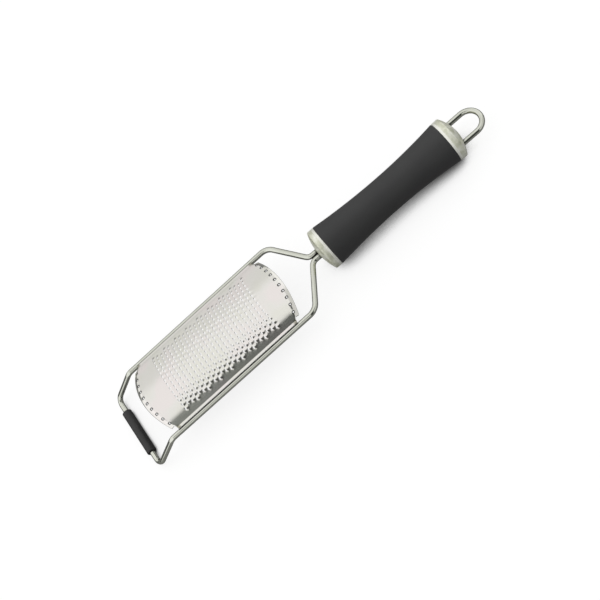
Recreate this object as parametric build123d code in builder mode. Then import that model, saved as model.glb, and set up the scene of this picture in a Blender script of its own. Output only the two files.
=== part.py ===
"""A rasp zester: an arched steel rasp on a bent rod frame, with a round waisted handle and a hanging loop.

Millimetres. X runs along the tool, from the foot to the hanging loop. Y runs across it, and Z is up.
The origin is the middle of the tool's length and width, on the table that the foot and the rear cap rest on.
"""
from math import asin, atan2, cos, degrees, hypot, pi, sin, sqrt
import os

from build123d import *

# Frame rod
rod_diameter = 4.0
rod_level = 20.5            # height of the side rods' centres above the table
frame_half_width = 32.0     # from the tool's middle to a side rod's centre
shoulder_reach = 26.0       # from the handle's face to the shoulders
side_rod_length = 133.8     # from a shoulder to the front bend
foot_reach = 22.75          # how far the foot stands ahead of the front bends
neck_reach = 6.8            # straight rod in front of the handle's face
neck_gap = 0.3              # between the two rod ends at the neck
neck_bend_radius = 6.0
shoulder_bend_radius = 10.0
front_bend_radius = 8.0
foot_bend_radius = 6.0
rod_end_depth = 16.5        # how deep the rod ends reach into the handle

# Rubber sleeve on the foot
sleeve_diameter = 7.2
sleeve_length = 39.0
sleeve_edge_radius = 0.7

# Rasp plate
sheet_thickness = 0.6
flange_width = 1.4
flange_inset = 1.2          # from a side rod's centre in to the flange's edge
arch_rise = 7.0
plate_setback = 14.6        # from the shoulders to the plate's rear corners
plate_side_length = 111.0
end_bulge = 7.0             # how far the fold at each end bows out at the middle
tab_reach = 3.0             # the turned-down strip beyond the fold, seen from above
tab_drop = 1.5
tab_corner_gap = 1.7        # from the flange's fold to the strip's end
fold_hole_diameter = 1.4
fold_hole_pitch = 5.45
fold_hole_count = 10
tooth_slot_length = 2.2
tooth_slot_width = 1.1
tooth_pitch = 3.75
column_pitch = 3.54
column_count = 25
tooth_zone_half_width = 24.5

# Handle
grip_length = 107.0
grip_end_radius = 16.1
grip_waist_radius = 13.05
grip_waist_place = 56.0     # from the grip's front end
grip_edge_radius = 0.7
core_radius = 10.0
core_spigot = 4.0           # how far the core reaches into each cap
core_bore_diameter = 6.0
socket_diameter = 14.0
socket_length = 24.0
socket_chamfer = 0.6
tie_rod_diameter = 5.0
tie_rod_depth = 10.0        # thread in the socket

# Caps
front_cap_band = 5.2
front_cap_rise = 3.3
front_cap_seat_radius = 16.05
front_cap_rim_radius = 15.95
rear_cap_band = 5.5
rear_cap_rise = 5.0
rear_cap_seat_radius = 16.05
rear_cap_rim_radius = 16.2
cap_edge_radius = 1.2
cap_thread_depth = 5.0

# Hanging loop
loop_wire_diameter = 4.0
loop_radius = 9.5
loop_reach = 19.2           # from the dome's top to the wire's centre at the tip
loop_floor = 0.8            # metal left between the loop's seat and the cap's recess

# Fits
fit_gap = 0.05
overrun = 5.0

rod_radius = rod_diameter / 2
sleeve_radius = sleeve_diameter / 2
foot_level = sleeve_radius

# Places along the handle's axis, measured from the face of the front cap
grip_front = front_cap_rise + front_cap_band
grip_rear = grip_front + grip_length
rear_rim = grip_rear + rear_cap_band
rear_face = rear_rim + rear_cap_rise
core_front = grip_front - core_spigot
core_rear = grip_rear + core_spigot
socket_rear = core_front + socket_length
loop_arc_place = rear_face + loop_reach - loop_radius
loop_seat_place = core_rear + loop_floor

# The handle slopes down to the rear until the rear cap's rim touches the table
rim_distance = hypot(rear_rim, rear_cap_rim_radius)
slope = asin(rod_level / rim_distance) - atan2(rear_cap_rim_radius, rear_rim)

# The origin is half way between the foot's sleeve and the loop's tip
front_reach = shoulder_reach + side_rod_length + foot_reach + sleeve_radius
rear_reach = (rear_face + loop_reach) * cos(slope) + loop_wire_diameter / 2
handle_x = (front_reach - rear_reach) / 2
shoulder_x = handle_x - shoulder_reach
front_bend_x = shoulder_x - side_rod_length
foot_x = front_bend_x - foot_reach

axis_direction = (cos(slope), 0, -sin(slope))
handle_face = (handle_x, 0, rod_level)
# Along the axis and up from it, for profiles that are turned
handle_profile = Plane(origin=handle_face, x_dir=axis_direction, z_dir=(0, -1, 0))
# Along the axis and to the left of it, for the loop
handle_level = Plane(origin=handle_face, x_dir=axis_direction, z_dir=(sin(slope), 0, cos(slope)))
# Square to the axis, for holes along it
handle_across = Plane(origin=handle_face, x_dir=(0, 1, 0), z_dir=axis_direction)
handle_axis = Axis(handle_face, axis_direction)


def write(piece, name):
    """Label a finished piece and write its file."""
    piece.part.label = name
    export_step(piece.part, f"parts/{name}.step")


def report_sweep(name, piece, path, diameter):
    """Compare a swept rod's volume with its section times its length."""
    length = sum(edge.length for edge in path.edges())
    share = piece.part.volume / (pi * diameter**2 / 4 * length)
    print(f"{name}: {length:.1f} long, volume {share:.4f} of section times length")


def turned_ring(inner_radius, outer_radius, start, end):
    """Sketch the half section of a ring about the handle's axis."""
    middle = ((start + end) / 2, (inner_radius + outer_radius) / 2)
    with Locations(middle):
        Rectangle(end - start, outer_radius - inner_radius)


os.makedirs("parts", exist_ok=True)

# Frame rod: one rod whose two ends meet at the neck inside the handle
neck_y = rod_radius + neck_gap / 2
left_side_points = [
    handle_across.from_local_coords((neck_y, 0, rod_end_depth)),
    handle_across.from_local_coords((neck_y, 0, -neck_reach)),
    Vector(shoulder_x, frame_half_width, rod_level),
    Vector(front_bend_x, frame_half_width, rod_level),
    Vector(foot_x, frame_half_width, foot_level),
]
right_side_points = [Vector(point.X, -point.Y, point.Z) for point in reversed(left_side_points)]
left_side_radii = [neck_bend_radius, shoulder_bend_radius, front_bend_radius, foot_bend_radius]
with BuildPart() as frame_rod:
    with BuildLine() as frame_path:
        FilletPolyline(
            *left_side_points,
            *right_side_points,
            radius=left_side_radii + left_side_radii[::-1],
        )
    with BuildSketch(Plane(origin=frame_path.line @ 0, z_dir=frame_path.line % 0)):
        Circle(rod_radius)
    sweep(path=frame_path.line)
report_sweep("frame_rod", frame_rod, frame_path, rod_diameter)
write(frame_rod, "frame_rod")

# Foot sleeve: a rubber tube pushed over the crossbar
sleeve_start = Plane.XZ.offset(-sleeve_length / 2)
with BuildPart() as foot_sleeve:
    with BuildSketch(sleeve_start):
        with Locations((foot_x, foot_level)):
            Circle(sleeve_radius)
    extrude(amount=sleeve_length)
    fillet(foot_sleeve.edges().filter_by(GeomType.CIRCLE), sleeve_edge_radius)
    with BuildSketch(sleeve_start):
        with Locations((foot_x, foot_level)):
            Circle(rod_radius + fit_gap)
    extrude(amount=sleeve_length, mode=Mode.SUBTRACT)
write(foot_sleeve, "foot_sleeve")

# Rasp plate: heights and places of the arched sheet
flange_edge_y = frame_half_width - flange_inset
arch_half_width = flange_edge_y - flange_width
flange_bottom = rod_level + sqrt(rod_radius**2 - flange_inset**2) + fit_gap
flange_top = flange_bottom + sheet_thickness
plate_rear_x = shoulder_x - plate_setback
plate_front_x = plate_rear_x - plate_side_length
plate_middle_x = (plate_front_x + plate_rear_x) / 2
tab_half_width = arch_half_width - tab_corner_gap
tab_slope = tab_drop / tab_reach


def arc_radius(half_chord, rise):
    """Radius of an arc from half its chord and its rise."""
    return (half_chord**2 + rise**2) / (2 * rise)


def arch_section(place_x, rise):
    """Sketch the sheet's section at one place along the plate: an arch between two flat flanges."""
    outer_radius = arc_radius(arch_half_width, rise)
    inner_radius = outer_radius - sheet_thickness
    centre_height = flange_top + rise - outer_radius
    inner_half_width = sqrt(inner_radius**2 - (flange_bottom - centre_height) ** 2)
    with BuildSketch(Plane.YZ.offset(place_x)) as section:
        with BuildLine():
            ThreePointArc(
                (-arch_half_width, flange_top),
                (0, flange_top + rise),
                (arch_half_width, flange_top),
            )
            Polyline(
                (arch_half_width, flange_top),
                (flange_edge_y, flange_top),
                (flange_edge_y, flange_bottom),
                (inner_half_width, flange_bottom),
            )
            ThreePointArc(
                (inner_half_width, flange_bottom),
                (0, centre_height + inner_radius),
                (-inner_half_width, flange_bottom),
            )
            Polyline(
                (-inner_half_width, flange_bottom),
                (-flange_edge_y, flange_bottom),
                (-flange_edge_y, flange_top),
                (-arch_half_width, flange_top),
            )
        make_face()
    return section.sketch


# The strip turned down at each end follows the bowed fold, so its own arch is taller where it starts
def turned_down_tab(corner_x, outward):
    """Make the strip beyond one fold; outward is 1 at the rear and -1 at the front."""
    section = arch_section(corner_x, arch_rise + tab_slope * end_bulge)
    run = end_bulge + tab_reach + overrun
    with BuildPart() as tab:
        extrude(section, amount=run, dir=(outward, 0, -tab_slope))
        with BuildSketch():
            with BuildLine():
                fold_bow = outward * end_bulge * (1 - (tab_half_width / arch_half_width) ** 2)
                fold_x = corner_x + fold_bow
                rim_x = fold_x + outward * tab_reach
                Line((fold_x, -tab_half_width), (rim_x, -tab_half_width))
                ThreePointArc(
                    (rim_x, -tab_half_width),
                    (corner_x + outward * (end_bulge + tab_reach), 0),
                    (rim_x, tab_half_width),
                )
                Line((rim_x, tab_half_width), (fold_x, tab_half_width))
                ThreePointArc(
                    (fold_x, tab_half_width),
                    (corner_x + outward * end_bulge, 0),
                    (fold_x, -tab_half_width),
                )
            make_face()
        extrude(amount=flange_top + arch_rise + overrun, mode=Mode.INTERSECT)
    return tab.part


front_tab = turned_down_tab(plate_front_x, -1)
rear_tab = turned_down_tab(plate_rear_x, 1)

# The teeth are punched in the flat sheet, so their pitch across runs along the arch
arch_radius = arc_radius(arch_half_width, arch_rise)
tooth_places = []
for column in range(column_count):
    tooth_x = plate_middle_x + (column - (column_count - 1) / 2) * column_pitch
    first_row = -tooth_zone_half_width - (column % 3) * tooth_pitch / 3
    row_total = int(2 * tooth_zone_half_width / tooth_pitch) + 2
    for row in range(row_total):
        along_arch = first_row + row * tooth_pitch
        if abs(along_arch) <= tooth_zone_half_width:
            tooth_places.append((tooth_x, arch_radius * sin(along_arch / arch_radius)))

fold_radius = arc_radius(arch_half_width, end_bulge)
fold_hole_places = []
for hole in range(fold_hole_count):
    angle = (hole - (fold_hole_count - 1) / 2) * fold_hole_pitch / fold_radius
    bow = end_bulge - fold_radius * (1 - cos(angle))
    hole_y = fold_radius * sin(angle)
    fold_hole_places.append((plate_front_x - bow, hole_y))
    fold_hole_places.append((plate_rear_x + bow, hole_y))

sheet_section = arch_section(plate_front_x - end_bulge - overrun, arch_rise)
with BuildPart() as rasp_plate:
    extrude(sheet_section, amount=plate_side_length + 2 * (end_bulge + overrun))
    with BuildSketch():
        with BuildLine():
            Polyline(
                (plate_rear_x, -arch_half_width),
                (plate_rear_x, -flange_edge_y),
                (plate_front_x, -flange_edge_y),
                (plate_front_x, -arch_half_width),
            )
            ThreePointArc(
                (plate_front_x, -arch_half_width),
                (plate_front_x - end_bulge, 0),
                (plate_front_x, arch_half_width),
            )
            Polyline(
                (plate_front_x, arch_half_width),
                (plate_front_x, flange_edge_y),
                (plate_rear_x, flange_edge_y),
                (plate_rear_x, arch_half_width),
            )
            ThreePointArc(
                (plate_rear_x, arch_half_width),
                (plate_rear_x + end_bulge, 0),
                (plate_rear_x, -arch_half_width),
            )
        make_face()
    extrude(amount=flange_top + arch_rise + overrun, mode=Mode.INTERSECT)
    add(front_tab)
    add(rear_tab)
    with BuildSketch():
        with Locations(*tooth_places):
            Rectangle(tooth_slot_width, tooth_slot_length)
        with Locations(*fold_hole_places):
            Circle(fold_hole_diameter / 2)
    extrude(amount=flange_top + arch_rise + overrun, mode=Mode.SUBTRACT)
print(f"rasp_plate: {len(tooth_places)} teeth")
write(rasp_plate, "rasp_plate")

# Front cap: a cast bolster with a slot for the two rod ends and a recess for the core
with BuildPart() as front_cap:
    with BuildSketch(handle_profile) as front_cap_profile:
        with BuildLine():
            Polyline((0, 0), (grip_front, 0), (grip_front, front_cap_seat_radius))
            Line((grip_front, front_cap_seat_radius), (front_cap_rise, front_cap_rim_radius))
            TangentArc((0, 0), (front_cap_rise, front_cap_rim_radius), tangent=(0, 1))
        make_face()
        fillet(front_cap_profile.vertices().sort_by(Axis.Y)[-1], cap_edge_radius)
    revolve(axis=handle_axis)
    with BuildSketch(handle_across.offset(core_front)):
        Circle(core_radius + fit_gap)
    extrude(amount=core_spigot + overrun, mode=Mode.SUBTRACT)
    with BuildSketch(handle_across.offset(-overrun)):
        SlotCenterToCenter(2 * neck_y, rod_diameter + 2 * fit_gap)
    extrude(amount=core_front + 2 * overrun, mode=Mode.SUBTRACT)
write(front_cap, "front_cap")

# Rear cap: tapped for the tie rod, with two blind seats for the hanging loop
with BuildPart() as rear_cap:
    with BuildSketch(handle_profile) as rear_cap_profile:
        with BuildLine():
            Polyline((rear_face, 0), (grip_rear, 0), (grip_rear, rear_cap_seat_radius))
            Line((grip_rear, rear_cap_seat_radius), (rear_rim, rear_cap_rim_radius))
            TangentArc((rear_face, 0), (rear_rim, rear_cap_rim_radius), tangent=(0, 1))
        make_face()
        fillet(rear_cap_profile.vertices().sort_by(Axis.Y)[-1], cap_edge_radius)
    revolve(axis=handle_axis)
    with BuildSketch(handle_across.offset(core_rear)):
        Circle(core_radius + fit_gap)
    extrude(amount=-core_spigot - overrun, mode=Mode.SUBTRACT)
    with BuildSketch(handle_across.offset(core_rear + cap_thread_depth)):
        Circle(tie_rod_diameter / 2 + fit_gap)
    extrude(amount=-cap_thread_depth - overrun, mode=Mode.SUBTRACT)
    with BuildSketch(handle_across.offset(loop_seat_place)):
        with Locations((loop_radius, 0), (-loop_radius, 0)):
            Circle(loop_wire_diameter / 2 + fit_gap)
    extrude(amount=rear_face - loop_seat_place + overrun, mode=Mode.SUBTRACT)
write(rear_cap, "rear_cap")

# Grip: the soft outer sleeve, waisted between its two ends
with BuildPart() as grip:
    with BuildSketch(handle_profile) as grip_profile:
        with BuildLine():
            waist = (grip_front + grip_waist_place, grip_waist_radius)
            TangentArc(waist, (grip_front, grip_end_radius), tangent=(-1, 0))
            TangentArc(waist, (grip_rear, grip_end_radius), tangent=(1, 0))
            Polyline(
                (grip_front, grip_end_radius),
                (grip_front, core_radius + fit_gap),
                (grip_rear, core_radius + fit_gap),
                (grip_rear, grip_end_radius),
            )
        make_face()
        fillet(grip_profile.vertices().sort_by(Axis.Y)[-2:], grip_edge_radius)
    revolve(axis=handle_axis)
write(grip, "grip")

# Grip core: the hard tube inside the grip, stepped for the tang socket
with BuildPart() as grip_core:
    with BuildSketch(handle_profile):
        turned_ring(socket_diameter / 2 + fit_gap, core_radius, core_front + fit_gap, socket_rear)
        turned_ring(core_bore_diameter / 2, core_radius, socket_rear, core_rear - fit_gap)
    revolve(axis=handle_axis)
write(grip_core, "grip_core")

# Tang socket: the steel block brazed on the two rod ends, tapped for the tie rod
with BuildPart() as tang_socket:
    with BuildSketch(handle_across.offset(core_front + fit_gap)):
        Circle(socket_diameter / 2)
    extrude(amount=socket_length - 2 * fit_gap)
    chamfer(tang_socket.edges().filter_by(GeomType.CIRCLE), socket_chamfer)
    with BuildSketch(handle_across.offset(core_front - overrun)):
        SlotCenterToCenter(2 * neck_y, rod_diameter + 2 * fit_gap)
    extrude(amount=rod_end_depth + fit_gap - core_front + overrun, mode=Mode.SUBTRACT)
    with BuildSketch(handle_across.offset(socket_rear - tie_rod_depth)):
        Circle(tie_rod_diameter / 2 + fit_gap)
    extrude(amount=tie_rod_depth + overrun, mode=Mode.SUBTRACT)
write(tang_socket, "tang_socket")

# Tie rod: pulls the rear cap and the socket together on the core
tie_rod_front = socket_rear - tie_rod_depth + fit_gap
tie_rod_rear = core_rear + cap_thread_depth - fit_gap
with BuildPart() as tie_rod:
    with BuildSketch(handle_across.offset(tie_rod_front)):
        Circle(tie_rod_diameter / 2)
    extrude(amount=tie_rod_rear - tie_rod_front)
write(tie_rod, "tie_rod")

# Hanging loop: a bent wire whose two legs sit in the rear cap
loop_start = loop_seat_place + fit_gap
with BuildPart() as hanging_loop:
    with BuildLine(handle_level) as loop_path:
        Line((loop_start, loop_radius), (loop_arc_place, loop_radius))
        CenterArc((loop_arc_place, 0), loop_radius, 90, -180)
        Line((loop_arc_place, -loop_radius), (loop_start, -loop_radius))
    with BuildSketch(handle_across.offset(loop_start)):
        with Locations((loop_radius, 0)):
            Circle(loop_wire_diameter / 2)
    sweep(path=loop_path.line)
report_sweep("hanging_loop", hanging_loop, loop_path, loop_wire_diameter)
write(hanging_loop, "hanging_loop")

print(f"handle slopes {degrees(slope):.2f} degrees, its face at x {handle_x:.2f}")
print(f"rods: shoulders {shoulder_x:.2f}, front bends {front_bend_x:.2f}, foot {foot_x:.2f}")
print(f"plate: {plate_front_x:.2f} to {plate_rear_x:.2f}, crown {flange_top + arch_rise:.2f}")
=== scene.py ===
# %% [markdown]
# A rasp zester on a white table. The handle, the caps, the frame rod and the rasp plate come as
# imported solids, and this script gives them their looks. It starts by loading them as a fixed frame:
# their places and sizes are settled, so every piece made here goes where they say.

# %% Load the frame
import bpy
import bmesh
from math import asin, atan2, cos, hypot, pi, radians, sin, sqrt, tan
from mathutils import Matrix, Vector


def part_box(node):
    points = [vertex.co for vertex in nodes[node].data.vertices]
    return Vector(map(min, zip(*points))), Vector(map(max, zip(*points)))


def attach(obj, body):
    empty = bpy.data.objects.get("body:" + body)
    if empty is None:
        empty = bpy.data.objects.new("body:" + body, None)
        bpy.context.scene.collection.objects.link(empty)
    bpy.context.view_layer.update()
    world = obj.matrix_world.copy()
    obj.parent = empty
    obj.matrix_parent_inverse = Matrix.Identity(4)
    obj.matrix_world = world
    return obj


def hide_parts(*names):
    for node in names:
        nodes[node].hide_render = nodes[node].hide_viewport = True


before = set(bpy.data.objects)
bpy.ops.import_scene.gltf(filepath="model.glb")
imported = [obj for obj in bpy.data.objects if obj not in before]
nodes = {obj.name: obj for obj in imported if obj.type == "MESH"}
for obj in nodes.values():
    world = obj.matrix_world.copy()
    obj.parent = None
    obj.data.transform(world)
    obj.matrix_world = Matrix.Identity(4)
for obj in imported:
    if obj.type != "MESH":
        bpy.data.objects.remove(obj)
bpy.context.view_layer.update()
scene = bpy.context.scene
scene.view_settings.view_transform = "Standard"
print("packed nodes:", ", ".join(sorted(nodes)))

# %% [markdown]
# The camera comes first. It stands over the near side and looks steeply down along a long lens. A
# camera is easiest to state as a place, a point that it looks at and a roll about its line of sight.

# %% Camera
camera_place = Vector((0.07562, -0.43168, 0.72628))
camera_aim = Vector((-0.01333, -0.00642, 0))
camera_roll = radians(-52.17)
camera = bpy.data.objects.new("camera", bpy.data.cameras.new("camera"))
camera.data.sensor_width = 36
camera.data.lens = 72
camera.data.shift_x = -0.0004
camera.data.shift_y = 0.0015
line_of_sight = (camera_aim - camera_place).to_track_quat("-Z", "Y").to_matrix().to_4x4()
roll = Matrix.Rotation(camera_roll, 4, "Z")
camera.matrix_world = Matrix.Translation(camera_place) @ line_of_sight @ roll
scene.collection.objects.link(camera)
scene.camera = camera
print("camera stands", round((camera_place - camera_aim).length, 3), "m from the table")

# %% [markdown]
# A shader is built from nodes, and the same few steps come again and again: add a node, fill a
# ramp, do a sum, fade from one level to another. Small helpers keep those steps to a line each, so
# that the recipes below read as recipes.

# %% Node helpers
def add_node(tree, kind, place=(0, 0), **settings):
    """Add a node of one kind to a tree, with its settings."""
    node = tree.nodes.new(kind)
    node.location = place
    for name, value in settings.items():
        setattr(node, name, value)
    return node


def set_ramp(node, stops):
    """Give a colour ramp its stops, each a position and a grey level or a colour."""
    elements = node.color_ramp.elements
    while len(elements) > 1:
        elements.remove(elements[-1])
    for index, (position, tone) in enumerate(stops):
        stop = elements[0] if index == 0 else elements.new(position)
        stop.position = position
        stop.color = (tone, tone, tone, 1) if isinstance(tone, (int, float)) else (*tone, 1)


def maths(tree, operation, first, second=None, third=None):
    """Add a math node fed by sockets or numbers and return its output."""
    node = add_node(tree, "ShaderNodeMath", operation=operation)
    for socket, value in zip(node.inputs, (first, second, third)):
        if isinstance(value, (int, float)):
            socket.default_value = value
        elif value is not None:
            tree.links.new(value, socket)
    return node.outputs[0]


def fade(tree, value, start, end, low=0.0, high=1.0):
    """Let a value run smoothly from one level to another between two places."""
    node = add_node(tree, "ShaderNodeMapRange", interpolation_type="SMOOTHSTEP")
    for name, number in (("From Min", start), ("From Max", end), ("To Min", low), ("To Max", high)):
        node.inputs[name].default_value = number
    tree.links.new(value, node.inputs["Value"])
    return node.outputs[0]


def ramp_of(tree, value, *stops):
    """Turn a value into a tone or a colour with a ramp."""
    ramp = add_node(tree, "ShaderNodeValToRGB")
    set_ramp(ramp, stops)
    tree.links.new(value, ramp.inputs[0])
    return ramp.outputs["Color"]


def between(tree, factor, first, second):
    """Mix two grey levels by a factor; a level is a socket or a number."""
    node = add_node(tree, "ShaderNodeMix", data_type="FLOAT")
    for socket, value in zip(node.inputs[:1] + node.inputs[2:4], (factor, first, second)):
        if isinstance(value, (int, float)):
            socket.default_value = value
        else:
            tree.links.new(value, socket)
    return node.outputs[0]


print("node helpers ready")

# %% [markdown]
# Polished steel has no look of its own: it shows the room. So the room is a small photo studio,
# written into the world by direction. Lamps could do the same, but a lamp's shape is hard to place
# in a reflection, while a direction is simple to reason about. The first nodes take a direction
# apart: how far it points sideways, how high, and its lean, which is the angle from straight up
# towards the near side.

# %% Directions of the room
world = bpy.data.worlds.new("studio")
scene.world = world
world.use_nodes = True
tree = world.node_tree
tree.nodes.clear()
direction = add_node(tree, "ShaderNodeTexCoord").outputs["Generated"]
split = add_node(tree, "ShaderNodeSeparateXYZ")
tree.links.new(direction, split.inputs[0])
towards_near = maths(tree, "MULTIPLY", split.outputs["Y"], -1.0)
lean = maths(tree, "ARCTAN2", towards_near, split.outputs["Z"])
lean_share = maths(tree, "MULTIPLY_ADD", lean, 1 / (2 * pi), 0.5)
sideways = split.outputs["X"]
height = split.outputs["Z"]
print("the room is read by", len(tree.nodes), "nodes")

# %% [markdown]
# A ramp over the lean paints what lies from the far side over the top to the near side: a white
# ceiling, a narrow dark gap beside it, and a softer front light. Both ends of the room are bright,
# though less so near the camera's stand.

# %% Ceiling and ends
end_light = 1.05
end_light_near_stand = 0.68


def lean_ramp(*pairs):
    """Ramp over the lean, from pairs of degrees and light levels."""
    return ramp_of(tree, lean_share, *[(0.5 + degrees / 360, level) for degrees, level in pairs])


ceiling = lean_ramp(
    (-180, 0.4), (-92, 0.5), (-84, 0.74), (-50, 0.76), (-36, 0.9), (27, 0.92), (31, 0.74), (62, 0.7),
    (84, 0.2), (180, 0.2))
gap = lean_ramp((11, 0), (12.5, 1), (27, 1), (30, 0))
gap_light = fade(tree, sideways, -0.26, -0.1, 0.25, 0.1)
light = between(tree, gap, ceiling, gap_light)
ends = fade(tree, maths(tree, "ABSOLUTE", sideways), 0.42, 0.56)
near_stand = maths(
    tree, "MULTIPLY", fade(tree, sideways, 0.0, 0.2), fade(tree, towards_near, -0.4, -0.15))
light = between(tree, ends, light, between(tree, near_stand, end_light, end_light_near_stand))
print("ceiling and ends painted")

# %% [markdown]
# Two dark things give the steel its contrast: the camera's stand, a strip on the handle's side, and
# a low panel that stands behind the tool at the foot's end. Towards the horizon the light fades.

# %% Stand and panel
stand_light = 0.05
panel_light = 0.04
horizon_share = 0.2
stand_lean = lean_ramp((14, 0), (24, 1), (78, 1), (96, 0))
stand_side = maths(
    tree, "MULTIPLY", fade(tree, sideways, -0.02, 0.05), fade(tree, sideways, 0.3, 0.4, 1.0, 0.0))
light = between(tree, maths(tree, "MULTIPLY", stand_lean, stand_side), light, stand_light)
panel = maths(
    tree, "MULTIPLY", fade(tree, sideways, -0.78, -0.6, 1.0, 0.0), fade(tree, height, 0.14, 0.28, 1.0, 0.0))
panel = maths(tree, "MULTIPLY", panel, fade(tree, towards_near, -0.2, 0.3, 1.0, 0.0))
light = between(tree, panel, light, panel_light)
light = maths(tree, "MULTIPLY", light, fade(tree, height, 0.0, 0.12, horizon_share, 1.0))
print("stand and panel painted")

# %% [markdown]
# A last ramp gives the darker levels a slight green, as in the photograph, and the result lights the
# tool. To the camera itself the world is plain white, which Light Path can tell.

# %% Light the room
studio_strength = 1.15
studio_light = ramp_of(tree, light, (0, 0.0), (0.3, (0.285, 0.3, 0.288)), (0.7, (0.7, 0.7, 0.69)), (1, 1.0))
lit = add_node(tree, "ShaderNodeBackground")
lit.inputs["Strength"].default_value = studio_strength
tree.links.new(studio_light, lit.inputs["Color"])
white = add_node(tree, "ShaderNodeBackground")
white.inputs["Color"].default_value = (1, 1, 1, 1)
light_path = add_node(tree, "ShaderNodeLightPath")
either = add_node(tree, "ShaderNodeMixShader")
tree.links.new(light_path.outputs["Is Camera Ray"], either.inputs[0])
tree.links.new(lit.outputs[0], either.inputs[1])
tree.links.new(white.outputs[0], either.inputs[2])
world_out = add_node(tree, "ShaderNodeOutputWorld")
tree.links.new(either.outputs[0], world_out.inputs[0])
print("studio world has", len(tree.nodes), "nodes")

# %% [markdown]
# The table is one large flat sheet, which belongs to the stage and not to the tool. A plain grid of
# one cell is enough for it.

# %% Table top
def set_surface(material, shader):
    """Make a shader the surface of an emptied material."""
    out = add_node(material.node_tree, "ShaderNodeOutputMaterial", (600, 0))
    material.node_tree.links.new(shader, out.inputs["Surface"])


floor_half = 3.0
floor_mesh = bmesh.new()
bmesh.ops.create_grid(floor_mesh, x_segments=1, y_segments=1, size=floor_half)
floor_data = bpy.data.meshes.new("table_top")
floor_mesh.to_mesh(floor_data)
floor_mesh.free()
floor = bpy.data.objects.new("table_top", floor_data)
scene.collection.objects.link(floor)
print("table top is", 2 * floor_half, "m wide")

# %% [markdown]
# A table bright enough to look white would throw too much light up on the underside of the tool. So
# the table is grey by colour, and a glow makes it white for the camera, and a little brighter for
# polished metal. The shadow falls on the table's own colour, and close under the tool the glow fades
# too, where an ambient occlusion node finds little open sky.

# %% Table finish
table_grey = 0.24
table_glow = 0.82
mirrored_share = 0.08
shadow_reach = 0.035
table_white = bpy.data.materials.new("table_white")
table_white.use_nodes = True
tree = table_white.node_tree
tree.nodes.clear()
matt = add_node(tree, "ShaderNodeBsdfDiffuse")
matt.inputs["Color"].default_value = (table_grey, table_grey, table_grey, 1)
glow = add_node(tree, "ShaderNodeEmission")
light_path = add_node(tree, "ShaderNodeLightPath")
mirrored = maths(
    tree, "MAXIMUM", light_path.outputs["Is Glossy Ray"], light_path.outputs["Is Transmission Ray"])
seen = maths(
    tree, "MAXIMUM", light_path.outputs["Is Camera Ray"], maths(tree, "MULTIPLY", mirrored, mirrored_share))
open_sky = add_node(tree, "ShaderNodeAmbientOcclusion", samples=16)
open_sky.inputs["Distance"].default_value = shadow_reach
lifted = maths(tree, "MULTIPLY", seen, fade(tree, open_sky.outputs["AO"], 0.25, 0.62))
tree.links.new(maths(tree, "MULTIPLY", lifted, table_glow), glow.inputs["Strength"])
both = add_node(tree, "ShaderNodeAddShader")
tree.links.new(matt.outputs[0], both.inputs[0])
tree.links.new(glow.outputs[0], both.inputs[1])
set_surface(table_white, both.outputs[0])
floor_data.materials.append(table_white)
print("table finish made")

# %% [markdown]
# Several finishes share two effects, and each effect is a node group, built once and placed in
# every material with its own values. The first is grain: a fine noise stretched along one
# direction, with a slow, blotchy noise beside it. Brushed steel stretches it far, a casting not at
# all.

# %% Grain group
def start_group(name, inputs, outputs):
    """Make a node group with its sockets, and return it with its input and output nodes."""
    group = bpy.data.node_groups.new(name, "ShaderNodeTree")
    for way, sockets in (("INPUT", inputs), ("OUTPUT", outputs)):
        for socket_name, kind in sockets.items():
            group.interface.new_socket(socket_name, in_out=way, socket_type="NodeSocket" + kind)
    return group, add_node(group, "NodeGroupInput", (-800, 0)), add_node(group, "NodeGroupOutput", (400, 0))


grain_group, group_in, group_out = start_group(
    "metal_grain",
    {"Place": "Vector", "Fineness": "Float", "Stretch": "Vector", "Blotch Size": "Float"},
    {"Grain": "Float", "Blotch": "Float"})
stretched = add_node(grain_group, "ShaderNodeVectorMath", operation="MULTIPLY")
grain_group.links.new(group_in.outputs["Place"], stretched.inputs[0])
grain_group.links.new(group_in.outputs["Stretch"], stretched.inputs[1])
fine_noise = add_node(grain_group, "ShaderNodeTexNoise")
fine_noise.inputs["Detail"].default_value = 4
fine_noise.inputs["Roughness"].default_value = 0.6
grain_group.links.new(stretched.outputs[0], fine_noise.inputs["Vector"])
grain_group.links.new(group_in.outputs["Fineness"], fine_noise.inputs["Scale"])
grain_group.links.new(fine_noise.outputs["Fac"], group_out.inputs["Grain"])
slow_noise = add_node(grain_group, "ShaderNodeTexNoise")
slow_noise.inputs["Detail"].default_value = 2
grain_group.links.new(group_in.outputs["Place"], slow_noise.inputs["Vector"])
grain_group.links.new(group_in.outputs["Blotch Size"], slow_noise.inputs["Scale"])
grain_group.links.new(slow_noise.outputs["Fac"], group_out.inputs["Blotch"])
print("grain group has", len(grain_group.nodes), "nodes")
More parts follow.
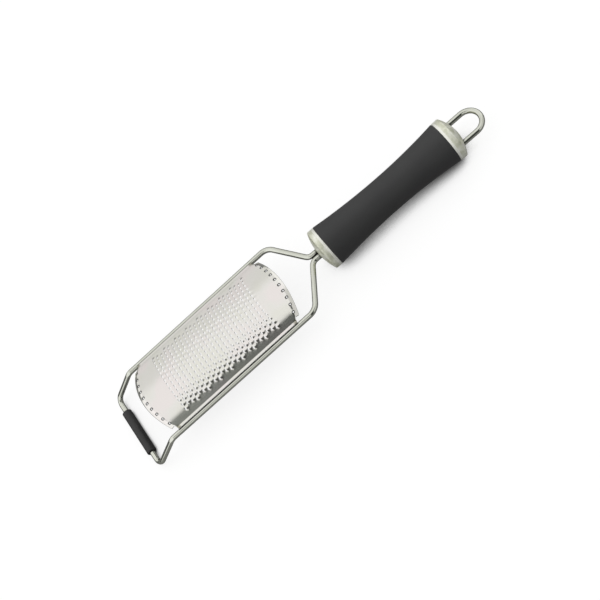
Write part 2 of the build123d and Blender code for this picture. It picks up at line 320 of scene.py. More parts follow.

# %% [markdown]
# The second effect is wear and painted shade. Handling polishes edges lighter, hollows are made
# darker, and painted shade goes into the gaps between one piece and the next. The curvature of the
# mesh finds edges and hollows, and ambient occlusion over a short reach finds those gaps.

# %% Wear and crevice shade group
edge_group, group_in, group_out = start_group(
    "edge_wear_and_crevice_shade",
    {"Sharpness": "Float", "Reach": "Float"},
    {"Edge": "Float", "Hollow": "Float", "Crevice": "Float"})
curvature = add_node(edge_group, "ShaderNodeNewGeometry").outputs["Pointiness"]
above_flat = maths(edge_group, "SUBTRACT", curvature, 0.5)
scaled = maths(edge_group, "MULTIPLY", above_flat, group_in.outputs["Sharpness"])
raised = add_node(edge_group, "ShaderNodeClamp")
edge_group.links.new(scaled, raised.inputs["Value"])
edge_group.links.new(raised.outputs[0], group_out.inputs["Edge"])
sunk = add_node(edge_group, "ShaderNodeClamp")
edge_group.links.new(maths(edge_group, "MULTIPLY", scaled, -1.0), sunk.inputs["Value"])
edge_group.links.new(sunk.outputs[0], group_out.inputs["Hollow"])
around_sky = add_node(edge_group, "ShaderNodeAmbientOcclusion", samples=12)
edge_group.links.new(group_in.outputs["Reach"], around_sky.inputs["Distance"])
# painted shade: the mask is high where ambient occlusion finds a gap beside another piece
crevice_shade = fade(edge_group, around_sky.outputs["AO"], 0.25, 0.85, 1.0, 0.0)
edge_group.links.new(crevice_shade, group_out.inputs["Crevice"])
print("edge group has", len(edge_group.nodes), "nodes")

# %% [markdown]
# Every finish starts the same way: a material with one principled shader, the object's own
# coordinates and a grain group. What differs is how the grain is used, so each finish below adds its
# own colour, roughness and bump.

# %% Start a finish
def start_finish(name, metallic, fineness, stretch, blotch_size):
    """Make a material with its shader and grain, and return the tree, shader, grain and blotch."""
    material = bpy.data.materials.new(name)
    material.use_nodes = True
    tree = material.node_tree
    tree.nodes.clear()
    shader = add_node(tree, "ShaderNodeBsdfPrincipled", (300, 0))
    shader.inputs["Metallic"].default_value = metallic
    set_surface(material, shader.outputs[0])
    place = add_node(tree, "ShaderNodeTexCoord", (-900, 0)).outputs["Object"]
    grain = add_node(tree, "ShaderNodeGroup", (-600, 0))
    grain.node_tree = grain_group
    grain.inputs["Fineness"].default_value = fineness
    grain.inputs["Stretch"].default_value = stretch
    grain.inputs["Blotch Size"].default_value = blotch_size
    tree.links.new(place, grain.inputs["Place"])
    return material, shader, grain.outputs["Grain"], grain.outputs["Blotch"]


def spread(tree, value, low, high):
    """Map a 0 to 1 value between two levels."""
    node = add_node(tree, "ShaderNodeMapRange")
    node.inputs["From Min"].default_value = 0.25
    node.inputs["From Max"].default_value = 0.75
    node.inputs["To Min"].default_value = low
    node.inputs["To Max"].default_value = high
    tree.links.new(value, node.inputs["Value"])
    return node.outputs[0]


def blend_colours(tree, factor, first, second):
    """Mix two colours by a factor; a colour is a socket or three numbers."""
    node = add_node(tree, "ShaderNodeMix", data_type="RGBA")
    tree.links.new(factor, node.inputs["Factor"])
    for socket, colour in ((node.inputs[6], first), (node.inputs[7], second)):
        if isinstance(colour, tuple):
            socket.default_value = (*colour, 1)
        else:
            tree.links.new(colour, socket)
    return node.outputs[2]


def roughen(tree, shader, height, strength, distance):
    """Feed a height to the shader's normal through a bump node."""
    bump = add_node(tree, "ShaderNodeBump", (50, -300))
    bump.inputs["Strength"].default_value = strength
    bump.inputs["Distance"].default_value = distance
    tree.links.new(height, bump.inputs["Height"])
    tree.links.new(bump.outputs[0], shader.inputs["Normal"])


def wear_and_shade(tree, sharpness, reach):
    """Add the group of wear and painted crevice shade and return its masks, which are Edge, Hollow and
    Crevice.
    """
    group = add_node(tree, "ShaderNodeGroup")
    group.node_tree = edge_group
    group.inputs["Sharpness"].default_value = sharpness
    group.inputs["Reach"].default_value = reach
    return group.outputs


print("finish helpers ready")

# %% [markdown]
# The rods and the loop are drawn stainless steel, polished after bending. The steel is a warm,
# slightly green grey. A polished rod is never a perfect mirror: faint drawing lines run around the
# polish and the roughness drifts along it. Painted shade darkens the gaps beside other pieces, and a
# narrow line of painted shadow runs along the near flange; its mask is worked out from the place on the
# rod.

# %% Polished steel
# painted shade colour, for the crevices and for the shadow line along the near flange
shade_colour = (0.03, 0.03, 0.026)
polished_steel, shader, grain, blotch = start_finish("polished_rod_steel", 1.0, 900, (0.15, 1, 1), 60)
tree = polished_steel.node_tree
steel_colour = ramp_of(tree, blotch, (0.3, (0.59, 0.60, 0.53)), (0.7, (0.66, 0.67, 0.60)))
# painted shade: darker where ambient occlusion finds a gap beside another piece
crevice_shade = maths(tree, "MULTIPLY", wear_and_shade(tree, 5.0, 0.0034)["Crevice"], 2.8)
steel_colour = blend_colours(tree, crevice_shade, steel_colour, shade_colour)
plate_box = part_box("rasp_plate")
plate_centre = (plate_box[0] + plate_box[1]) / 2
plate_half = (plate_box[1] - plate_box[0]) / 2
side_half = plate_half.x - 0.0105
# painted shadow line on the rod along the near flange's edge
on_rod = add_node(tree, "ShaderNodeSeparateXYZ")
tree.links.new(add_node(tree, "ShaderNodeTexCoord").outputs["Object"], on_rod.inputs[0])
from_plate = maths(tree, "ABSOLUTE", maths(tree, "SUBTRACT", on_rod.outputs["X"], plate_centre.x))
seam_x = fade(tree, from_plate, side_half, side_half + 0.001, 1.0, 0.0)
from_seam = maths(tree, "ABSOLUTE", maths(tree, "SUBTRACT", on_rod.outputs["Y"], plate_box[0].y))
seam_y = fade(tree, from_seam, 0.0006, 0.0016, 1.0, 0.0)
seam_shadow = maths(tree, "MULTIPLY", seam_x, seam_y)
steel_colour = blend_colours(tree, seam_shadow, steel_colour, shade_colour)
tree.links.new(steel_colour, shader.inputs["Base Color"])
tree.links.new(spread(tree, grain, 0.08, 0.14), shader.inputs["Roughness"])
shader.inputs["Specular Tint"].default_value = (0.5, 0.5, 0.47, 1)
roughen(tree, shader, grain, 0.04, 0.0002)
print("polished steel made")

# %% [markdown]
# The rasp plate is a bright stainless sheet with a slightly pink cast. It was brushed along its
# length before the teeth were punched, so its grain is stretched along X. Around the teeth the
# punch leaves a brighter burr. Painted shade darkens the gaps beside other pieces and the walls of
# the fold holes. An olive darkening sits at the four corners, where the flanges are welded to the
# rods. Its mask is the distance to the nearest corner, which folding the coordinates at the plate's middle
# makes easy.

# %% Rasp steel
weld_place = Vector((plate_half.x - 0.0104, 0.0302, 0))
rasp_steel, shader, grain, blotch = start_finish("brushed_rasp_steel", 1.0, 1400, (0.04, 1, 1), 45)
tree = rasp_steel.node_tree
sheet_colour = ramp_of(
    tree, blotch, (0.38, (0.735, 0.725, 0.67)), (0.5, (0.75, 0.735, 0.70)), (0.62, (0.775, 0.73, 0.71)))
wear_and_shade_masks = wear_and_shade(tree, 10.0, 0.0011)
sheet_colour = blend_colours(tree, wear_and_shade_masks["Edge"], sheet_colour, (0.95, 0.94, 0.92))
centred = add_node(tree, "ShaderNodeVectorMath", operation="SUBTRACT")
centred.inputs[1].default_value = (plate_centre.x, plate_centre.y, 0)
tree.links.new(add_node(tree, "ShaderNodeTexCoord").outputs["Object"], centred.inputs[0])
folded = add_node(tree, "ShaderNodeVectorMath", operation="ABSOLUTE")
tree.links.new(centred.outputs[0], folded.inputs[0])
flattened = add_node(tree, "ShaderNodeVectorMath", operation="MULTIPLY")
flattened.inputs[1].default_value = (1, 1, 0)
tree.links.new(folded.outputs[0], flattened.inputs[0])
to_weld = add_node(tree, "ShaderNodeVectorMath", operation="DISTANCE")
to_weld.inputs[1].default_value = weld_place
tree.links.new(flattened.outputs[0], to_weld.inputs[0])
# olive darkening at the four weld corners
corner_darkening = fade(tree, to_weld.outputs["Value"], 0.001, 0.0032, 0.75, 0.0)
sheet_colour = blend_colours(tree, corner_darkening, sheet_colour, (0.2, 0.19, 0.12))
# painted shade where ambient occlusion finds a gap beside another piece
sheet_colour = blend_colours(tree, wear_and_shade_masks["Crevice"], sheet_colour, (0.3, 0.3, 0.29))
# painted shade on the walls of the fold holes, which get little light
hole_shade_mask = add_node(tree, "ShaderNodeAttribute", attribute_name="hole_shade").outputs["Fac"]
sheet_colour = blend_colours(tree, fade(tree, hole_shade_mask, 0.1, 0.6), sheet_colour, (0.06, 0.06, 0.055))
tree.links.new(sheet_colour, shader.inputs["Base Color"])
tree.links.new(spread(tree, grain, 0.09, 0.17), shader.inputs["Roughness"])
roughen(tree, shader, grain, 0.03, 0.0002)
print("rasp steel made")

# %% [markdown]
# Both caps are castings with a matte, sandy face of a pale greenish grey. Handling rubs the rims
# brighter, the hollows are darker, and painted shade lies in the gaps around the rods.

# %% Cast metal
cast_metal, shader, grain, blotch = start_finish("matte_cast_metal", 0.4, 1100, (1, 1, 1), 190)
tree = cast_metal.node_tree
cast_colour = ramp_of(
    tree, blotch, (0.38, (0.62, 0.63, 0.48)), (0.5, (0.8, 0.81, 0.67)), (0.62, (0.95, 0.95, 0.86)))
wear_and_shade_masks = wear_and_shade(tree, 6.0, 0.0015)
cast_colour = blend_colours(tree, wear_and_shade_masks["Edge"], cast_colour, (0.93, 0.93, 0.86))
# darker in the hollows that the curvature finds
cast_colour = blend_colours(tree, wear_and_shade_masks["Hollow"], cast_colour, (0.4, 0.4, 0.33))
# painted shade in the gaps around the rods
cast_colour = blend_colours(tree, wear_and_shade_masks["Crevice"], cast_colour, (0.14, 0.14, 0.11))
cast_shader = shader
tree.links.new(cast_colour, cast_shader.inputs["Base Color"])
tree.links.new(spread(tree, grain, 0.36, 0.5), shader.inputs["Roughness"])
roughen(tree, shader, grain, 0.25, 0.0003)
print("cast metal made")

# %% [markdown]
# The grip is a soft-touch rubber moulded on the core. Its skin is black with a fine pebble, which
# spreads the light, and a faint sheen lifts the edges. The foot's sleeve is a plainer, slightly
# glossier rubber tube.

# %% Rubber
soft_grip, shader, grain, blotch = start_finish("soft_touch_rubber", 0.0, 1500, (1, 1, 1), 35)
tree = soft_grip.node_tree
grip_colour = ramp_of(tree, blotch, (0.3, (0.026, 0.026, 0.027)), (0.7, (0.032, 0.032, 0.032)))
tree.links.new(grip_colour, shader.inputs["Base Color"])
tree.links.new(spread(tree, grain, 0.5, 0.66), shader.inputs["Roughness"])
shader.inputs["Sheen Weight"].default_value = 0.03
shader.inputs["Sheen Roughness"].default_value = 0.4
roughen(tree, shader, grain, 0.3, 0.0002)

foot_rubber, shader, grain, blotch = start_finish("sleeve_rubber", 0.0, 1200, (1, 0.2, 1), 50)
tree = foot_rubber.node_tree
foot_colour = ramp_of(tree, blotch, (0.3, (0.02, 0.02, 0.02)), (0.7, (0.028, 0.028, 0.028)))
tree.links.new(foot_colour, shader.inputs["Base Color"])
tree.links.new(spread(tree, grain, 0.42, 0.56), shader.inputs["Roughness"])
roughen(tree, shader, grain, 0.2, 0.0002)
print("rubbers made")

# %% [markdown]
# The pieces inside the handle don't show, but they are real: a moulded plastic core, and a turned
# steel socket and tie rod. The core gets a fine moulded grain and the steel gets turning lines,
# which are rings of noise squeezed along the handle.

# %% Inner finishes
core_plastic, shader, grain, blotch = start_finish("moulded_core_plastic", 0.0, 700, (1, 1, 1), 40)
tree = core_plastic.node_tree
core_colour = ramp_of(tree, blotch, (0.3, (0.06, 0.06, 0.062)), (0.7, (0.09, 0.09, 0.09)))
tree.links.new(core_colour, shader.inputs["Base Color"])
tree.links.new(spread(tree, grain, 0.4, 0.5), shader.inputs["Roughness"])
roughen(tree, shader, grain, 0.1, 0.0002)

inner_steel, shader, grain, blotch = start_finish("turned_steel", 1.0, 500, (6, 0.1, 0.1), 50)
tree = inner_steel.node_tree
turned_colour = ramp_of(tree, blotch, (0.3, (0.48, 0.48, 0.47)), (0.7, (0.58, 0.58, 0.57)))
tree.links.new(turned_colour, shader.inputs["Base Color"])
tree.links.new(spread(tree, grain, 0.25, 0.4), shader.inputs["Roughness"])
roughen(tree, shader, grain, 0.15, 0.0001)

for name, finish in (("grip_core", core_plastic), ("tang_socket", inner_steel), ("tie_rod", inner_steel)):
    nodes[name].data.materials.clear()
    nodes[name].data.materials.append(finish)
print("inner pieces dressed")

# %% [markdown]
# The pieces are modelled in millimetres, as a maker would measure them, and one helper finishes
# each of them: it scales the mesh to metres, shades it smooth, gives it its finish, hangs it on the
# body that it rides on and hides the imported solid that it stands for.

# %% Finish a piece
MM = 0.001


def finish_piece(name, modelled, node, material):
    """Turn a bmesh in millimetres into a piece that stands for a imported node."""
    bmesh.ops.scale(modelled, verts=modelled.verts, vec=(MM, MM, MM))
    mesh = bpy.data.meshes.new(name)
    modelled.to_mesh(mesh)
    modelled.free()
    for face in mesh.polygons:
        face.use_smooth = True
    mesh.materials.append(material)
    piece = bpy.data.objects.new(name, mesh)
    scene.collection.objects.link(piece)
    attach(piece, "root")
    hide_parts(node)
    print(name, "has", len(mesh.polygons), "faces")
    return piece


def node_box(name):
    """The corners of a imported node's box, in millimetres."""
    low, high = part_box(name)
    return low / MM, high / MM


rod_low, rod_high = node_box("frame_rod")
print("frame rod is", round(rod_high.x - rod_low.x, 1), "mm long")

# %% [markdown]
# The handle has one axis, which slopes down from the frame until the rear cap touches the table.
# The caps, the grip and the loop are all placed along it, so the axis comes before them. Its slope
# follows from the height of the rods and the size of the rear cap.

# %% Handle axis
rod_radius = 2.0
rod_level = 20.5
front_cap_rise = 3.3
front_cap_band = 5.2
grip_length = 107.0
rear_cap_band = 5.5
rear_cap_rise = 5.0
rear_cap_rim_radius = 16.2
grip_front = front_cap_rise + front_cap_band
grip_rear = grip_front + grip_length
rear_rim = grip_rear + rear_cap_band
rear_face = rear_rim + rear_cap_rise
rim_distance = hypot(rear_rim, rear_cap_rim_radius)
handle_slope = asin(rod_level / rim_distance) - atan2(rear_cap_rim_radius, rear_rim)
handle_axis = Vector((cos(handle_slope), 0, -sin(handle_slope)))
handle_up = Vector((sin(handle_slope), 0, cos(handle_slope)))
loop_reach = 19.2
loop_tip = rear_face + loop_reach
tool_rear = node_box("hanging_loop")[1].x
handle_face = Vector((tool_rear - rod_radius - loop_tip * cos(handle_slope), 0, rod_level))


def on_handle(along, across=0.0, up=0.0):
    """A point of the handle, from the front cap's face."""
    return handle_face + handle_axis * along + Vector((0, across, 0)) + handle_up * up


print("handle starts at x", round(handle_face.x, 2))

# %% [markdown]
# The frame is one steel rod. On the bench a bender pushes a straight length out, then turns the rod
# about a pin, and repeats. The model is made the same way: a ring of vertices is extruded along each
# straight and spun about the centre of each bend, so that the bends are true arcs and the rod keeps
# its thickness. A curve with a bevel would also work, but its corners would need the same radii
# worked out as handles.

# %% Bend a rod
def bend_rod(points, radii, radius, sides=32, bend_steps=12):
    """Model a round rod that runs through points, with a bend of each radius at the inner ones."""
    rod = bmesh.new()
    heading = (points[1] - points[0]).normalized()
    facing = heading.to_track_quat("Z", "Y").to_matrix().to_4x4()
    bmesh.ops.create_circle(
        rod, segments=sides, radius=radius, matrix=Matrix.Translation(points[0]) @ facing)
    first_ring = list(rod.edges)
    ring = first_ring
    place = points[0]
    for index in range(1, len(points)):
        corner = points[index]
        heading = (corner - points[index - 1]).normalized()
        last = index == len(points) - 1
        if last:
            straight_end = corner
        else:
            turned = (points[index + 1] - corner).normalized()
            turn = heading.angle(turned)
            setback = radii[index - 1] * tan(turn / 2)
            straight_end = corner - heading * setback
        pushed = bmesh.ops.extrude_edge_only(rod, edges=ring)["geom"]
        moved = [item for item in pushed if isinstance(item, bmesh.types.BMVert)]
        bmesh.ops.translate(rod, verts=moved, vec=straight_end - place)
        front = set(moved)
        ring = [item for item in pushed
                if isinstance(item, bmesh.types.BMEdge) and set(item.verts) <= front]
        if last:
            break
        pin_axis = heading.cross(turned).normalized()
        pin = straight_end + pin_axis.cross(heading) * radii[index - 1]
        spun = bmesh.ops.spin(
            rod, geom=ring, cent=pin, axis=pin_axis, angle=turn, steps=bend_steps,
            use_merge=False, use_duplicate=False)["geom_last"]
        ring = [item for item in spun if isinstance(item, bmesh.types.BMEdge)]
        place = corner + turned * setback
    for end_ring in (first_ring, ring):
        bmesh.ops.edgeloop_fill(rod, edges=end_ring)
        for edge in end_ring:
            edge.smooth = False
    bmesh.ops.remove_doubles(rod, verts=rod.verts, dist=0.001)
    bmesh.ops.recalc_face_normals(rod, faces=rod.faces)
    return rod


# %% [markdown]
# The frame rod runs from inside the handle to the shoulder, along the plate, down to the foot and
# back on the other side. Only the left half is written down: mirrored and reversed, it is the right
# half too, so the two sides can't differ.

# %% Frame rod
neck_gap = 0.3
neck_y = rod_radius + neck_gap / 2
neck_reach = 6.8
rod_end_depth = 16.5
shoulder_reach = 26.0
side_rod_length = 133.8
shoulder_x = handle_face.x - shoulder_reach
front_bend_x = shoulder_x - side_rod_length
side_y = rod_high.y - rod_radius
foot_x = rod_low.x + rod_radius
foot_level = rod_low.z + rod_radius
left_side = [
    on_handle(rod_end_depth, neck_y),
    on_handle(-neck_reach, neck_y),
    Vector((shoulder_x, side_y, rod_level)),
    Vector((front_bend_x, side_y, rod_level)),
    Vector((foot_x, side_y, foot_level)),
]
right_side = [Vector((point.x, -point.y, point.z)) for point in reversed(left_side)]
bend_radii = [6.0, 10.0, 8.0, 6.0]
rod = bend_rod(left_side + right_side, bend_radii + bend_radii[::-1], rod_radius)
finish_piece("bent_rod", rod, "frame_rod", polished_steel)

# %% [markdown]
# The hanging loop is a shorter piece of the same rod, bent to a U. Its two legs end in blind seats
# in the rear cap. A half circle is made of two quarter bends, whose corners lie outside the arc.

# %% Hanging loop
loop_radius = 9.5
core_spigot = 4.0
loop_seat = 0.85
loop_start = grip_rear + core_spigot + loop_seat
loop_points = [
    on_handle(loop_start, loop_radius),
    on_handle(loop_tip, loop_radius),
    on_handle(loop_tip, -loop_radius),
    on_handle(loop_start, -loop_radius),
]
loop = bend_rod(loop_points, [loop_radius, loop_radius], rod_radius, bend_steps=20)
finish_piece("hanging_wire", loop, "hanging_loop", polished_steel)

# %% [markdown]
# The grip, the caps and the foot's sleeve are round, so each is a profile turned about its axis, as
# on a lathe. The profile is a row of points along the axis, each with its radius. The spin merges
# its last step with its first, and points on the axis are merged into one pole.

# %% Turn a profile
def turn_profile(profile, origin, axis, outward, steps=96):
    """Spin a row of (place along the axis, radius) pairs about an axis."""
    turned = bmesh.new()
    points = [turned.verts.new(origin + axis * along + outward * radius) for along, radius in profile]
    outline = [turned.edges.new(pair) for pair in zip(points, points[1:])]
    bmesh.ops.spin(
        turned, geom=points + outline, cent=origin, axis=axis, angle=2 * pi, steps=steps,
        use_merge=True, use_duplicate=False)
    bmesh.ops.remove_doubles(turned, verts=turned.verts, dist=0.001)
    bmesh.ops.recalc_face_normals(turned, faces=turned.faces)
    return turned


def arc_points(centre, radius, start, end, steps):
    """Points of an arc in a profile, from one angle to another in degrees."""
    angles = [radians(start + (end - start) * step / steps) for step in range(steps + 1)]
    return [(centre[0] + radius * cos(angle), centre[1] + radius * sin(angle)) for angle in angles]


print("profile helpers ready")

# %% [markdown]
# The grip is waisted: two long arcs leave the waist level with the axis and rise to the two ends,
# where the rubber is rolled over. Its bore is closed by the core and the caps, so the profile goes
# round the wall and back inside it.

# %% Grip
grip_end_radius = 16.1
grip_waist_radius = 13.05
grip_waist = grip_front + 56.0
grip_lip = 0.7
bore_radius = 10.05


def waist_radius(along):
    """Radius of the grip at a place along the handle."""
    end = grip_front if along < grip_waist else grip_rear
    rise = grip_end_radius - grip_waist_radius
    run = abs(end - grip_waist)
    sweep = (run ** 2 + rise ** 2) / (2 * rise)
    return grip_waist_radius + sweep - sqrt(sweep ** 2 - (along - grip_waist) ** 2)


grip_steps = 48
front_turn = grip_front + grip_lip
rear_turn = grip_rear - grip_lip
body = [front_turn + (rear_turn - front_turn) * step / grip_steps for step in range(grip_steps + 1)]
front_lip_radius = waist_radius(front_turn) - grip_lip
rear_lip_radius = waist_radius(rear_turn) - grip_lip
grip_profile = (
    [(grip_front, bore_radius)]
    + arc_points((front_turn, front_lip_radius), grip_lip, 180, 90, 5)
    + [(along, waist_radius(along)) for along in body[1:-1]]
    + arc_points((rear_turn, rear_lip_radius), grip_lip, 90, 0, 5)
    + [(grip_rear, bore_radius), (grip_front, bore_radius)]
)
grip = turn_profile(grip_profile, handle_face, handle_axis, handle_up)
finish_piece("soft_sleeve", grip, "grip", soft_grip)

# %% [markdown]
# Each cap is a cast disc with a straight band beside the grip and a shallow dome beyond it. A fine
# step at the seat keeps the rubber's edge in line with the metal. The dome is an arc that is square
# to the axis at its middle. Both caps have this outline, so a helper works it out.

# %% Cap outline
cap_edge_radius = 1.2


def cap_profile(seat_place, seat_radius, rim_place, rim_radius, face_place):
    """Outline of a cap from the bore, round the band and over the dome to the axis."""
    outward = 1 if face_place > rim_place else -1
    rise = abs(face_place - rim_place)
    dome = (rim_radius ** 2 + rise ** 2) / (2 * rise)
    dome_centre = face_place - outward * dome
    dome_end = asin(rim_radius / dome)
    band = Vector((rim_place - seat_place, rim_radius - seat_radius)).normalized()
    down_dome = Vector((outward * sin(dome_end), -cos(dome_end)))
    corner = Vector((rim_place, rim_radius))
    half_angle = (-band).angle(down_dome) / 2
    setback = cap_edge_radius / tan(half_angle)
    corner_start = corner - band * setback
    corner_end = corner + down_dome * setback
    rounding = []
    for step in range(7):
        share = step / 6
        rounding.append(
            (1 - share) ** 2 * corner_start + 2 * share * (1 - share) * corner + share ** 2 * corner_end)
    dome_start = asin(corner_end.y / dome)
    dome_arc = []
    for step in range(1, 15):
        angle = dome_start * (1 - step / 14)
        dome_arc.append((dome_centre + outward * dome * cos(angle), dome * sin(angle)))
    seat_lip = 0.25
    return (
        [(seat_place, bore_radius), (seat_place, seat_radius - seat_lip)]
        + [(seat_place + outward * seat_lip, seat_radius)]
        + [tuple(point) for point in rounding]
        + dome_arc
    )


print("cap outline ready")

# %% [markdown]
# Each cap is bored for the end of the core, so the outline starts at the floor of that bore. The two
# caps differ only in their band, their dome and the way that they face.

# %% Caps
cap_seat_radius = 16.05
front_cap_rim_radius = 15.95
front_bore = grip_front - core_spigot
front_profile = [(front_bore, 0.0), (front_bore, bore_radius)]
front_profile += cap_profile(grip_front, cap_seat_radius, front_cap_rise, front_cap_rim_radius, 0.0)
front_bolster = turn_profile(front_profile, handle_face, handle_axis, handle_up)
finish_piece("front_bolster", front_bolster, "front_cap", cast_metal)

rear_bore = grip_rear + core_spigot
rear_profile = [(rear_bore, 0.0), (rear_bore, bore_radius)]
rear_profile += cap_profile(grip_rear, cap_seat_radius, rear_rim, rear_cap_rim_radius, rear_face)
rear_bolster = turn_profile(rear_profile, handle_face, handle_axis, handle_up)
finish_piece("rear_bolster", rear_bolster, "rear_cap", cast_metal)

# %% [markdown]
# Beside the grip each cap has a narrow band of painted highlight. The band follows the handle and
# not the shape of the mesh, so its mask is worked out from the place along the axis: both bands lie
# just past the grip's two ends, at equal distances from the middle of the grip.

# %% Painted highlight bands
highlight_band = 1.8
tree = cast_metal.node_tree
from_face = add_node(tree, "ShaderNodeVectorMath", operation="SUBTRACT")
from_face.inputs[1].default_value = handle_face * MM
tree.links.new(add_node(tree, "ShaderNodeTexCoord").outputs["Object"], from_face.inputs[0])
along_handle = add_node(tree, "ShaderNodeVectorMath", operation="DOT_PRODUCT")
along_handle.inputs[1].default_value = handle_axis
tree.links.new(from_face.outputs[0], along_handle.inputs[0])
from_middle = maths(tree, "SUBTRACT", along_handle.outputs["Value"], (grip_front + grip_rear) / 2 * MM)
from_middle = maths(tree, "ABSOLUTE", from_middle)
band_end = (grip_length / 2 + highlight_band) * MM
# painted highlight next to the grip
highlight_mask = fade(tree, from_middle, band_end - 0.3 * MM, band_end + 0.3 * MM, 0.8, 0.0)
highlighted = blend_colours(tree, highlight_mask, cast_colour, (0.97, 0.97, 0.91))
tree.links.new(highlighted, cast_shader.inputs["Base Color"])
print("painted highlight bands are", highlight_band, "mm wide")

# %% [markdown]
# The foot's sleeve is cut from rubber tube and pushed over the crossbar. Its cut ends are slightly
# rounded, and its bore fits the rod.

# %% Foot sleeve
sleeve_low, sleeve_high = node_box("foot_sleeve")
sleeve_radius = (sleeve_high.z - sleeve_low.z) / 2
sleeve_end = 0.7
sleeve_bore = rod_radius + 0.05
sleeve_steps = 12
half_length = sleeve_high.y
sleeve_places = [
    -half_length + sleeve_end + 2 * (half_length - sleeve_end) * step / sleeve_steps
    for step in range(1, sleeve_steps)
]
sleeve_profile = (
    [(-half_length, sleeve_bore)]
    + arc_points((-half_length + sleeve_end, sleeve_radius - sleeve_end), sleeve_end, 180, 90, 5)
    + [(along, sleeve_radius) for along in sleeve_places]
    + arc_points((half_length - sleeve_end, sleeve_radius - sleeve_end), sleeve_end, 90, 0, 5)
    + [(half_length, sleeve_bore), (-half_length, sleeve_bore)]
)
crossbar = Vector((foot_x, 0, foot_level))
sleeve = turn_profile(sleeve_profile, crossbar, Vector((0, 1, 0)), Vector((0, 0, 1)), steps=48)
finish_piece("rubber_tube", sleeve, "foot_sleeve", foot_rubber)

# %% [markdown]
# The rasp plate starts as a flat sheet, as it does in the press, and only after punching is it bent.
# Its arch is part of a circle, so the flat sheet is as wide as the arc is long, with a flange on
# each side. A turned-down strip of tab_reach follows the bowed fold at each end.

# %% Plate measures
arch_rise = 7.0
arch_half_width = 29.4
flange_width = 1.4
end_bulge = 7.0
tab_reach = 3.0
plate_low, plate_high = node_box("rasp_plate")
plate_rear_x = plate_high.x - end_bulge - tab_reach
plate_front_x = plate_low.x + end_bulge + tab_reach
plate_middle_x = (plate_rear_x + plate_front_x) / 2
half_side = (plate_rear_x - plate_front_x) / 2
crown = plate_high.z
arch_radius = (arch_half_width ** 2 + arch_rise ** 2) / (2 * arch_rise)
arch_end = arch_radius * asin(arch_half_width / arch_radius)
print("plate's side is", round(2 * half_side, 1), "mm; its arch is", round(2 * arch_end, 1), "mm round")

# %% [markdown]
# The flat sheet is a grid whose cells are a third of the teeth's pitch each way, because the rows
# step by a third from column to column: so every tooth is a hole of two cells with its lip in the
# next ones. Along the plate come the lines of the front strip, the blank end, the teeth, the blank
# end and the rear strip, and across it those of the flanges and the rows.

# %% Sheet lines
column_pitch = 3.54
column_count = 25
tooth_pitch = 3.75
tooth_zone = 24.5
cell_x = column_pitch / 3
cell_y = tooth_pitch / 3
tab_lines = [1.2, 2.2, tab_reach]
front_cells = 11
rear_cells = 9
zone_cells = 3 * column_count
zone_front = -((column_count - 1) / 2) * column_pitch - cell_x / 2
zone_rear = zone_front + zone_cells * cell_x
front_fold = len(tab_lines)
zone_first = front_fold + front_cells
zone_last = zone_first + zone_cells
rear_fold = zone_last + rear_cells
columns = rear_fold + len(tab_lines)
flange_lines = [arch_end + flange_width, arch_end + 0.5, arch_end - 0.4]
row_start = -tooth_zone - 4 * cell_y
inner_rows = 47
row_lines = [-line for line in flange_lines]
row_lines += [row_start + cell_y * row for row in range(inner_rows + 1)]
row_lines += flange_lines[::-1]
row_count = len(row_lines) - 1
print("sheet has", columns, "by", row_count, "cells")

# %% [markdown]
# The grid is made with cells of one unit, and its vertices are then moved to their lines. In the
# blank ends a line's place depends on where round the arch it is asked for, so that the lines lean
# over step by step from the straight edge of the teeth to the bowed fold.

# %% Place the lines
def fold_bow(around):
    """How far the end folds bow out at a place round the arch."""
    angle = min(abs(around), arch_end) / arch_radius
    return max(end_bulge - arch_radius * (1 - cos(angle)), 0.0)


def line_place(column, around):
    """Place along the plate of a column line at a place round the arch."""
    bow = fold_bow(around)
    front = -half_side - bow
    rear = half_side + bow
    if column < front_fold:
        return front - tab_lines[front_fold - 1 - column]
    if column < zone_first:
        share = (column - front_fold) / front_cells
        return front + (zone_front - front) * share
    if column <= zone_last:
        return zone_front + (column - zone_first) * cell_x
    if column <= rear_fold:
        share = (column - zone_last) / rear_cells
        return zone_rear + (rear - zone_rear) * share
    return rear + tab_lines[column - rear_fold - 1]


sheet = bmesh.new()
hole_shade = sheet.verts.layers.float.new("hole_shade")
grid_size = Matrix.Diagonal((columns / 2, row_count / 2, 1, 1))
grid_place = Matrix.Translation((columns / 2, row_count / 2, 0))
bmesh.ops.create_grid(
    sheet, x_segments=columns, y_segments=row_count, size=1, matrix=grid_place @ grid_size)
cells = {}
corners = {}
for face in sheet.faces:
    centre = face.calc_center_median()
    cells[int(centre.x), int(centre.y)] = face
for vert in sheet.verts:
    column = round(vert.co.x)
    row = round(vert.co.y)
    corners[column, row] = vert
    vert.co = Vector((line_place(column, row_lines[row]), row_lines[row], 0))
print("sheet starts with", len(cells), "cells")

# %% [markdown]
# A tooth is a hole with a raised lip on its handle side. The press cuts the slot and pushes the
# metal behind it up into a small scoop. Here the two cells of a slot are inset together, which
# leaves a rim around the hole, and the rim's handle side is lifted, most at its middle. The last
# tooth of each column stands lower, because there the press meets the slope of the arch.

# %% Punch the teeth
def line_of_row(around):
    """Index of the row line nearest to a place round the arch."""
    return min(range(len(row_lines)), key=lambda row: abs(row_lines[row] - around))


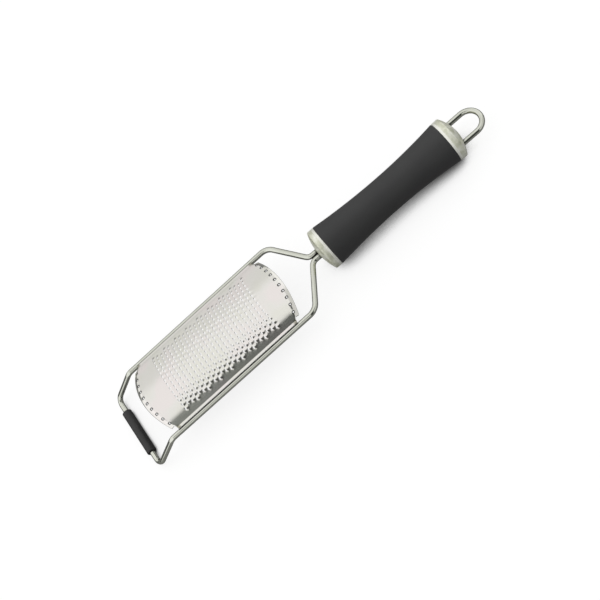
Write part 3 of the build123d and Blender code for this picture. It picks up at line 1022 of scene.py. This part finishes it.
slots = []
lips = {}
slot_rim = 0.13
lip_height = 0.75
lip_end_height = 0.3
lip_foot_height = 0.26
last_lip_height = 0.42
last_lip_end_height = 0.08
for column in range(column_count):
    first_row = -tooth_zone - (column % 3) * cell_y
    slot_column = zone_first + 3 * column
    row_place = first_row
    while row_place <= tooth_zone:
        if row_place >= -tooth_zone:
            row = line_of_row(row_place)
            slots += [cells[slot_column, row - 1], cells[slot_column, row]]
            lips[corners[slot_column + 1, row]] = lip_height
            lips[corners[slot_column + 1, row - 1]] = lip_end_height
            lips[corners[slot_column + 1, row + 1]] = lip_end_height
            lips[corners[slot_column + 2, row]] = lip_foot_height
        row_place += tooth_pitch
    lips[corners[slot_column + 1, row]] = last_lip_height
    lips[corners[slot_column + 1, row + 1]] = last_lip_end_height
for vert, height in lips.items():
    vert.co.z = height
bmesh.ops.inset_region(sheet, faces=slots, thickness=slot_rim, use_even_offset=False, use_boundary=True)
bmesh.ops.delete(sheet, geom=slots, context="FACES")
print("punched", len(slots) // 2, "teeth")

# %% [markdown]
# Each end fold carries ten round holes. A hole takes the place of the four cells around a point of
# the fold: the cells go, their outer edges are extruded, and the new ring is drawn in to a circle.
# The ring stands a little proud, as a punched hole does, and it is marked so that the finish can
# darken it: the wall of so small a hole hardly gets any light.

# %% Punch the fold holes
fold_hole_radius = 0.66
fold_hole_pitch = 5.45
fold_hole_count = 10
fold_hole_rim = 0.1
hole_blocks = []
for fold in (front_fold, rear_fold):
    for hole in range(fold_hole_count):
        around = (hole - (fold_hole_count - 1) / 2) * fold_hole_pitch
        row = line_of_row(around)
        block = [corners[fold + i, row + j] for i in (-1, 0, 1) for j in (-1, 0, 1)]
        shift = around - row_lines[row]
        for vert in block:
            vert.co.y += shift
            column = fold + (-1, 0, 1)[block.index(vert) // 3]
            vert.co.x = line_place(column, vert.co.y)
        centre = Vector((line_place(fold, around), around, fold_hole_rim))
        faces = [cells[fold + i, row + j] for i in (-1, 0) for j in (-1, 0)]
        hole_blocks.append((centre, faces))
for centre, faces in hole_blocks:
    edges = {edge for face in faces for edge in face.edges}
    outer = [edge for edge in edges if len(set(edge.link_faces) & set(faces)) == 1]
    bmesh.ops.delete(sheet, geom=faces, context="FACES")
    ring = bmesh.ops.extrude_edge_only(sheet, edges=outer)["geom"]
    for vert in ring:
        if isinstance(vert, bmesh.types.BMVert):
            spoke = vert.co - centre
            spoke.z = 0
            vert.co = centre + spoke.normalized() * fold_hole_radius
            vert[hole_shade] = 1.0
print("punched", len(hole_blocks), "fold holes")

# %% [markdown]
# The turned-down strip at each end stops short of the side rods, so its outer cells are cut off.
# Then the sheet is bent: every point goes round the arch, out along the flat flange past its ends,
# and down with the strip beyond each fold.

# %% Bend the sheet
tab_slope = 0.5
tab_corner_gap = 1.7
tab_half = arch_radius * asin((arch_half_width - tab_corner_gap) / arch_radius)
cut_off = []
for (column, row), face in cells.items():
    beyond = column < front_fold or column >= rear_fold
    if beyond and face.is_valid:
        middle = (row_lines[row] + row_lines[row + 1]) / 2
        if abs(middle) > tab_half:
            cut_off.append(face)
bmesh.ops.delete(sheet, geom=cut_off, context="FACES")
flange_top = crown - arch_rise
for vert in sheet.verts:
    along, around, height = vert.co
    angle = max(-arch_end, min(arch_end, around)) / arch_radius
    past_arch = around - angle * arch_radius
    beyond_fold = max(abs(along) - half_side - fold_bow(around), 0.0)
    level = arch_radius * cos(angle) + flange_top + arch_rise - arch_radius
    if past_arch:
        angle = 0.0
        level = flange_top
        side = (arch_half_width + abs(past_arch)) * (1 if around > 0 else -1)
    else:
        side = arch_radius * sin(angle)
    vert.co = Vector((
        plate_middle_x + along,
        side + height * sin(angle),
        level + height * cos(angle) - tab_slope * beyond_fold,
    ))
bmesh.ops.recalc_face_normals(sheet, faces=sheet.faces)
upwards = sum(face.normal.z for face in sheet.faces)
if upwards < 0:
    bmesh.ops.reverse_faces(sheet, faces=sheet.faces)
print("sheet bent, faces:", len(sheet.faces))

# %% [markdown]
# Solidify gives the sheet its wall, downwards from the face that was modelled, and one level of
# subdivision rounds the folds, the holes and the lips. As modifiers they keep the mesh itself light.

# %% Rasp plate
sheet_thickness = 0.6
rasp = finish_piece("toothed_sheet", sheet, "rasp_plate", rasp_steel)
wall = rasp.modifiers.new("wall", "SOLIDIFY")
wall.thickness = sheet_thickness * MM
wall.offset = -1
smooth = rasp.modifiers.new("smooth", "SUBSURF")
smooth.levels = 1
smooth.render_levels = 1
print("rasp plate dressed")
